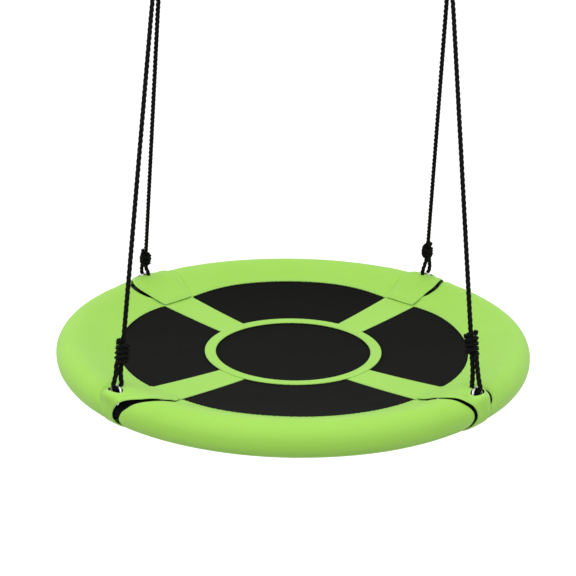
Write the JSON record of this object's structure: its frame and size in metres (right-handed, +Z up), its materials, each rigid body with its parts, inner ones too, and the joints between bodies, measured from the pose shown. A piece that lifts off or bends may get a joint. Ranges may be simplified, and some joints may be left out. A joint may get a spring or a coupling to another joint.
{
  "type": "saucer nest swing",
  "caption": "Round padded saucer swing: a steel ring in foam and cloth covers with a fabric mat across it, hung by ropes from two snap hooks.",
  "frame": {"origin": "midway between the two snap hooks, on the line where they bear on what they hang from", "axes": "+Z up; X from hook to hook, +X to the right seen from the front; the swing moves to and fro along Y, front at -Y"},
  "size_m": [1.001, 1.001, 0.9424],
  "materials": {
    "green_cloth": "coated woven polyester, lime green, slight sheen",
    "black_cloth": "coated woven polyester, black, matt",
    "rope": "twisted polypropylene rope, black",
    "webbing": "black woven webbing",
    "foam": "closed cell foam, dark grey",
    "tube_steel": "powder coated, satin grey",
    "zinc_steel": "zinc plated, bright"
  },
  "bodies": {
    "hooks": {"snap_hook_left": "zinc_steel", "gate_pin_left": "tube_steel", "snap_hook_right": "zinc_steel", "gate_pin_right": "tube_steel"},
    "left_gate": {"hook_gate_left": "zinc_steel"},
    "right_gate": {"hook_gate_right": "zinc_steel"},
    "left_ring": {"hanging_ring_left": "zinc_steel"},
    "right_ring": {"hanging_ring_right": "zinc_steel"},
    "left_ropes": {"rope_left": "rope", "rope_seizing_left": "rope", "sliding_hitch_left": "rope", "eye_knot_left": "rope", "d_ring_front_left": "zinc_steel", "d_ring_back_left": "zinc_steel"},
    "right_ropes": {"rope_right": "rope", "rope_seizing_right": "rope", "sliding_hitch_right": "rope", "eye_knot_right": "rope", "d_ring_front_right": "zinc_steel", "d_ring_back_right": "zinc_steel"},
    "seat": {"frame_tube_front_left": "tube_steel", "frame_tube_front_right": "tube_steel", "frame_tube_back_right": "tube_steel", "frame_tube_back_left": "tube_steel", "frame_bolt_right": "zinc_steel", "frame_bolt_back": "zinc_steel", "frame_bolt_left": "zinc_steel", "frame_bolt_front": "zinc_steel", "frame_nut_right": "zinc_steel", "frame_nut_back": "zinc_steel", "frame_nut_left": "zinc_steel", "frame_nut_front": "zinc_steel", "foam_sleeve_right": "foam", "foam_sleeve_back": "foam", "foam_sleeve_left": "foam", "foam_sleeve_front": "foam", "rim_cover_right": "green_cloth", "rim_cover_back": "green_cloth", "rim_cover_left": "green_cloth", "rim_cover_front": "green_cloth", "corner_wrap_front_left": "green_cloth", "corner_wrap_front_right": "green_cloth", "corner_wrap_back_right": "green_cloth", "corner_wrap_back_left": "green_cloth", "webbing_loop_front_left": "webbing", "webbing_loop_front_right": "webbing", "webbing_loop_back_right": "webbing", "webbing_loop_back_left": "webbing", "seat_mat": "black_cloth", "centre_band": "green_cloth", "diagonal_strap_front_left": "green_cloth", "diagonal_strap_front_right": "green_cloth", "diagonal_strap_back_right": "green_cloth", "diagonal_strap_back_left": "green_cloth"}
  },
  "joints": [
    {"name": "left_gate", "type": "hinge", "parent": "hooks", "child": "left_gate", "pos_m": [-0.304, 0, -0.0483], "axis": [0, 1, 0], "range_deg": [0, 25], "stiffness_Nm_per_rad": 0.05, "springref_deg": -17.19},
    {"name": "right_gate", "type": "hinge", "parent": "hooks", "child": "right_gate", "pos_m": [0.304, 0, -0.0483], "axis": [0, -1, 0], "range_deg": [0, 25], "stiffness_Nm_per_rad": 0.05, "springref_deg": -17.19},
    {"name": "swing", "type": "hinge", "parent": "hooks", "child": "left_ring", "pos_m": [-0.288, 0, -0.0683], "axis": [1, 0, 0], "range_deg": [-45, 45]},
    {"name": "right_swing", "type": "hinge", "parent": "hooks", "child": "right_ring", "pos_m": [0.288, 0, -0.0683], "axis": [1, 0, 0], "range_deg": [-45, 45]},
    {"name": "sway", "type": "hinge", "parent": "left_ring", "child": "left_ropes", "pos_m": [-0.288, 0, -0.105], "axis": [0, 1, 0], "range_deg": [-4, 4]},
    {"name": "right_sway", "type": "hinge", "parent": "right_ring", "child": "right_ropes", "pos_m": [0.288, 0, -0.105], "axis": [0, 1, 0], "range_deg": [-4, 4]},
    {"name": "seat_tilt", "type": "hinge", "parent": "left_ropes", "child": "seat", "pos_m": [-0.35849, 0, -0.88244], "axis": [0, 1, 0], "range_deg": [-4, 4]}
  ],
  "couplings": [
    {"joint": "right_swing", "follows": "swing", "ratio": 1},
    {"joint": "right_sway", "follows": "sway", "ratio": 1},
    {"joint": "seat_tilt", "follows": "sway", "ratio": -0.83875}
  ]
}
